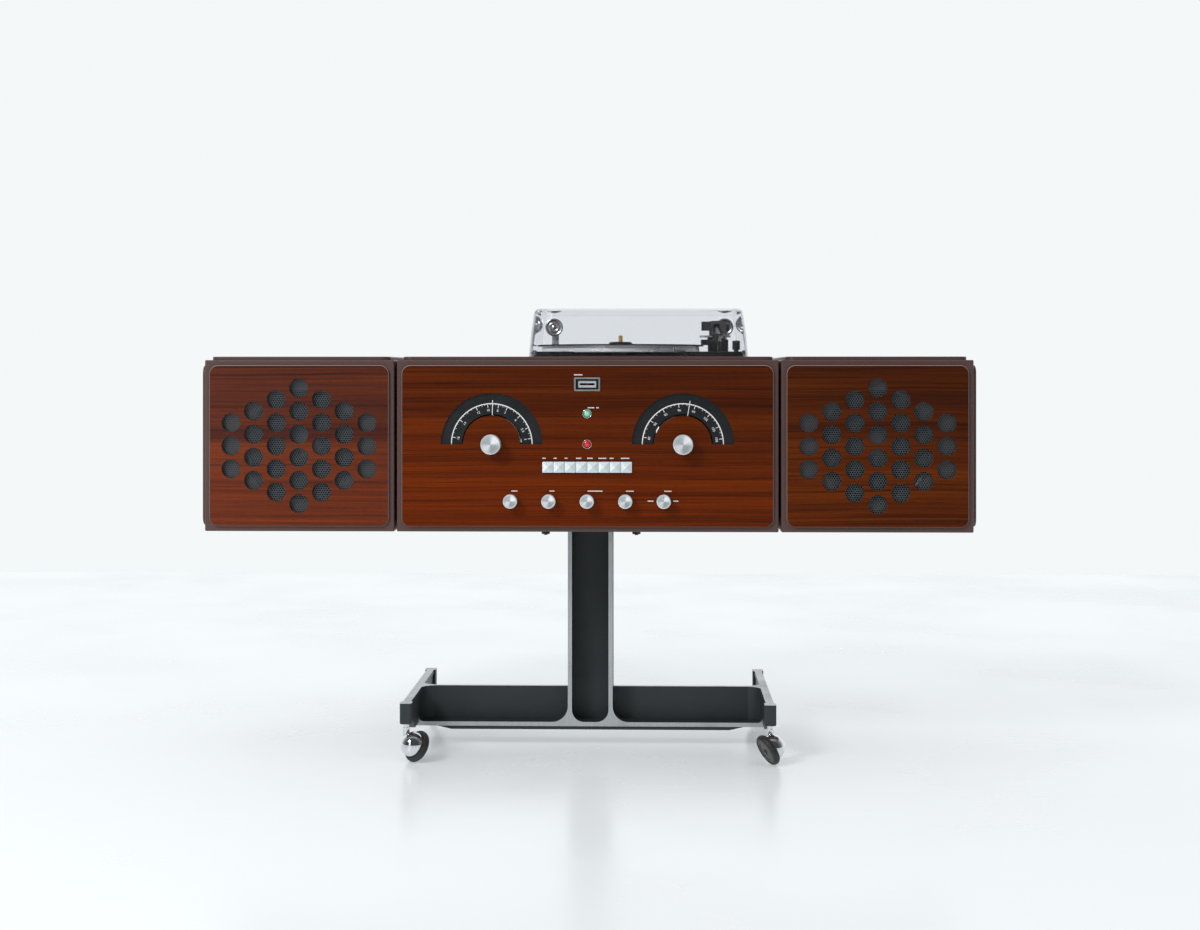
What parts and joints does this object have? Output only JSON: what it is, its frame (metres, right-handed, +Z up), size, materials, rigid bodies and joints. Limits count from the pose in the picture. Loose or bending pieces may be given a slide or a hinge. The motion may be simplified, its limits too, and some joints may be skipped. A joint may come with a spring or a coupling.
{
  "type": "radio phonograph",
  "caption": "Rosewood radio phonograph console with round-holed hanging loudspeakers, semicircular dials, a clear-covered record deck and a pedestal stand on ball casters.",
  "frame": {"origin": "on the floor, under the centre of the whole object's box", "axes": "+X to the right of someone facing the front, +Y to the back, +Z up; the controls face -Y"},
  "size_m": [1.219, 0.4033, 0.7185],
  "materials": {
    "lacquered_wood": "satin dark brown lacquer",
    "rosewood_veneer": "satin rosewood veneer",
    "cast_alloy": "black paint with bright machined edges",
    "spun_alloy": "spun and turned",
    "chrome": "polished",
    "steel": "plated",
    "black_plastic": "matt black",
    "black_enamel": "semi-gloss black enamel",
    "silver_plastic": "metallised silver",
    "black_gloss": "gloss black",
    "white_print": "white enamel",
    "hardboard": "dark pressed board",
    "rubber": "matt",
    "tyre": "matt hard rubber",
    "clear_acrylic": "clear, polished",
    "lamp_lens": "translucent, one green and one red",
    "grille_metal": "blue-black, perforated"
  },
  "bodies": {
    "console": {"stand_casting": "cast_alloy", "fixings": "steel", "console_cabinet": "lacquered_wood", "console_front_panel": "rosewood_veneer", "console_back_panel": "hardboard", "dial_scales": "black_gloss", "switch_bank": "black_plastic", "tuning_meter": "steel", "indicator_lamps": "lamp_lens", "tuner_amplifier": "steel", "rear_sockets": "black_plastic", "mains_inlet": "black_plastic", "deck_plate": "black_enamel", "drive_motor": "steel", "tonearm_base": "black_plastic", "cover_hinge_blocks": "black_plastic"},
    "platter": {"platter": "spun_alloy", "platter_mat": "rubber", "centre_adapter": "black_plastic"},
    "motor_pulley": {"motor_pulley": "rubber"},
    "tonearm_yoke": {"tonearm_yoke": "black_plastic"},
    "tonearm": {"tonearm": "black_enamel"},
    "start_lever": {"start_lever": "chrome"},
    "speed_selector": {"speed_selector": "black_plastic"},
    "dust_cover": {"dust_cover": "clear_acrylic", "cover_leaves": "steel"},
    "meter_needle": {"meter_needle": "white_print"},
    "caster_front_left": {"caster_hood_front_left": "chrome"},
    "wheel_front_left": {"caster_wheel_front_left": "tyre"},
    "caster_front_right": {"caster_hood_front_right": "chrome"},
    "wheel_front_right": {"caster_wheel_front_right": "tyre"},
    "caster_back_left": {"caster_hood_back_left": "chrome"},
    "wheel_back_left": {"caster_wheel_back_left": "tyre"},
    "caster_back_right": {"caster_hood_back_right": "chrome"},
    "wheel_back_right": {"caster_wheel_back_right": "tyre"},
    "tuning_knob_left": {"tuning_knob_left": "spun_alloy"},
    "dial_pointer_left": {"dial_pointer_left": "white_print"},
    "speaker_left": {"speaker_cabinet_left": "lacquered_wood", "speaker_front_left": "rosewood_veneer", "speaker_grille_left": "grille_metal", "speaker_driver_left": "black_enamel"},
    "tuning_knob_right": {"tuning_knob_right": "spun_alloy"},
    "dial_pointer_right": {"dial_pointer_right": "white_print"},
    "speaker_right": {"speaker_cabinet_right": "lacquered_wood", "speaker_front_right": "rosewood_veneer", "speaker_grille_right": "grille_metal", "speaker_driver_right": "black_enamel"},
    "control_knob_1": {"control_knob_1": "spun_alloy"},
    "control_knob_2": {"control_knob_2": "spun_alloy"},
    "control_knob_3": {"control_knob_3": "spun_alloy"},
    "control_knob_4": {"control_knob_4": "spun_alloy"},
    "control_knob_5": {"control_knob_5": "spun_alloy"},
    "push_button_1": {"push_button_1": "silver_plastic"},
    "push_button_2": {"push_button_2": "silver_plastic"},
    "push_button_3": {"push_button_3": "silver_plastic"},
    "push_button_4": {"push_button_4": "silver_plastic"},
    "push_button_5": {"push_button_5": "silver_plastic"},
    "push_button_6": {"push_button_6": "silver_plastic"},
    "push_button_7": {"push_button_7": "silver_plastic"},
    "push_button_8": {"push_button_8": "silver_plastic"}
  },
  "joints": [
    {"name": "caster_swivel_front_left", "type": "hinge", "parent": "console", "child": "caster_front_left", "pos_m": [-0.28845, -0.14615, 0.0592], "axis": [0, 0, 1], "continuous": true},
    {"name": "wheel_spin_front_left", "type": "hinge", "parent": "caster_front_left", "child": "wheel_front_left", "pos_m": [-0.27643, -0.15437, 0.02721], "axis": [0.6855, 0.5691, -0.454], "continuous": true},
    {"name": "caster_swivel_front_right", "type": "hinge", "parent": "console", "child": "caster_front_right", "pos_m": [0.28845, -0.14615, 0.0592], "axis": [0, 0, 1], "continuous": true},
    {"name": "wheel_spin_front_right", "type": "hinge", "parent": "caster_front_right", "child": "wheel_front_right", "pos_m": [0.29074, -0.16053, 0.02721], "axis": [-0.8075, -0.3766, -0.454], "continuous": true},
    {"name": "caster_swivel_back_left", "type": "hinge", "parent": "console", "child": "caster_back_left", "pos_m": [-0.28845, 0.18785, 0.0592], "axis": [0, 0, 1], "continuous": true},
    {"name": "wheel_spin_back_left", "type": "hinge", "parent": "caster_back_left", "child": "wheel_back_left", "pos_m": [-0.28163, 0.17499, 0.02721], "axis": [0.8715, 0.1853, -0.454], "continuous": true},
    {"name": "caster_swivel_back_right", "type": "hinge", "parent": "console", "child": "caster_back_right", "pos_m": [0.28845, 0.18785, 0.0592], "axis": [0, 0, 1], "continuous": true},
    {"name": "wheel_spin_back_right", "type": "hinge", "parent": "caster_back_right", "child": "wheel_back_right", "pos_m": [0.29199, 0.17373, 0.02721], "axis": [-0.7716, -0.4455, -0.454], "continuous": true},
    {"name": "tuning_left", "type": "hinge", "parent": "console", "child": "tuning_knob_left", "pos_m": [-0.15, -0.17765, 0.504], "axis": [0, 1, 0], "range_deg": [-511.2, 496.8]},
    {"name": "dial_pointer_turn_left", "type": "hinge", "parent": "console", "child": "dial_pointer_left", "pos_m": [-0.15, -0.17215, 0.504], "axis": [0, 1, 0], "range_deg": [-85.4, 83]},
    {"name": "speaker_lift_left", "type": "slide", "parent": "console", "child": "speaker_left", "axis": [0, 0, 1], "range_m": [0, 0.3]},
    {"name": "tuning_right", "type": "hinge", "parent": "console", "child": "tuning_knob_right", "pos_m": [0.15, -0.17765, 0.504], "axis": [0, 1, 0], "range_deg": [-561, 447]},
    {"name": "dial_pointer_turn_right", "type": "hinge", "parent": "console", "child": "dial_pointer_right", "pos_m": [0.15, -0.17215, 0.504], "axis": [0, 1, 0], "range_deg": [-93.7, 74.7]},
    {"name": "speaker_lift_right", "type": "slide", "parent": "console", "child": "speaker_right", "axis": [0, 0, 1], "range_m": [0, 0.3]},
    {"name": "control_turn_1", "type": "hinge", "parent": "console", "child": "control_knob_1", "pos_m": [-0.12, -0.17765, 0.415], "axis": [0, 1, 0], "range_deg": [-150, 150]},
    {"name": "control_turn_2", "type": "hinge", "parent": "console", "child": "control_knob_2", "pos_m": [-0.06, -0.17765, 0.415], "axis": [0, 1, 0], "range_deg": [-150, 150]},
    {"name": "control_turn_3", "type": "hinge", "parent": "console", "child": "control_knob_3", "pos_m": [0, -0.17765, 0.415], "axis": [0, 1, 0], "range_deg": [-150, 150]},
    {"name": "control_turn_4", "type": "hinge", "parent": "console", "child": "control_knob_4", "pos_m": [0.06, -0.17765, 0.415], "axis": [0, 1, 0], "range_deg": [-150, 150]},
    {"name": "control_turn_5", "type": "hinge", "parent": "console", "child": "control_knob_5", "pos_m": [0.12, -0.17765, 0.415], "axis": [0, 1, 0], "range_deg": [0, 60]},
    {"name": "button_press_1", "type": "slide", "parent": "console", "child": "push_button_1", "axis": [0, 1, 0], "range_m": [0, 0.004], "stiffness_N_per_m": 300, "springref_m": -0.002},
    {"name": "button_press_2", "type": "slide", "parent": "console", "child": "push_button_2", "axis": [0, 1, 0], "range_m": [0, 0.004], "stiffness_N_per_m": 300, "springref_m": -0.002},
    {"name": "button_press_3", "type": "slide", "parent": "console", "child": "push_button_3", "axis": [0, 1, 0], "range_m": [0, 0.004], "stiffness_N_per_m": 300, "springref_m": -0.002},
    {"name": "button_press_4", "type": "slide", "parent": "console", "child": "push_button_4", "axis": [0, 1, 0], "range_m": [0, 0.004], "stiffness_N_per_m": 300, "springref_m": -0.002},
    {"name": "button_press_5", "type": "slide", "parent": "console", "child": "push_button_5", "axis": [0, 1, 0], "range_m": [0, 0.004], "stiffness_N_per_m": 300, "springref_m": -0.002},
    {"name": "button_press_6", "type": "slide", "parent": "console", "child": "push_button_6", "axis": [0, 1, 0], "range_m": [0, 0.004], "stiffness_N_per_m": 300, "springref_m": -0.002},
    {"name": "button_press_7", "type": "slide", "parent": "console", "child": "push_button_7", "axis": [0, 1, 0], "range_m": [0, 0.004], "stiffness_N_per_m": 300, "springref_m": -0.002},
    {"name": "button_press_8", "type": "slide", "parent": "console", "child": "push_button_8", "axis": [0, 1, 0], "range_m": [0, 0.004], "stiffness_N_per_m": 300, "springref_m": -0.002},
    {"name": "platter_spin", "type": "hinge", "parent": "console", "child": "platter", "pos_m": [0.0495, 0.01585, 0.66], "axis": [0, 0, 1], "continuous": true},
    {"name": "pulley_spin", "type": "hinge", "parent": "console", "child": "motor_pulley", "pos_m": [-0.03252, -0.06617, 0.65], "axis": [0, 0, 1], "continuous": true},
    {"name": "arm_swing", "type": "hinge", "parent": "console", "child": "tonearm_yoke", "pos_m": [0.211, 0.06785, 0.692], "axis": [0, 0, -1], "range_deg": [0, 58]},
    {"name": "arm_lift", "type": "hinge", "parent": "tonearm_yoke", "child": "tonearm", "pos_m": [0.211, 0.06785, 0.692], "axis": [-1, 0, 0], "range_deg": [0, 8]},
    {"name": "start_lever_turn", "type": "hinge", "parent": "console", "child": "start_lever", "pos_m": [0.154, -0.09815, 0.65], "axis": [0, 0, 1], "range_deg": [-15, 25]},
    {"name": "speed_select", "type": "hinge", "parent": "console", "child": "speed_selector", "pos_m": [0.237, -0.09815, 0.65], "axis": [0, 0, 1], "range_deg": [-60, 60]},
    {"name": "cover_lift", "type": "hinge", "parent": "console", "child": "dust_cover", "pos_m": [0.08, 0.16885, 0.649], "axis": [-1, 0, 0], "range_deg": [0, 70]},
    {"name": "needle_swing", "type": "hinge", "parent": "console", "child": "meter_needle", "pos_m": [0, -0.15815, 0.598], "axis": [0, 0, 1], "range_deg": [-35, 35]}
  ],
  "couplings": [
    {"joint": "dial_pointer_turn_left", "follows": "tuning_left", "ratio": 0.16667},
    {"joint": "dial_pointer_turn_right", "follows": "tuning_right", "ratio": 0.16667},
    {"joint": "pulley_spin", "follows": "platter_spin", "ratio": 15.537}
  ]
}
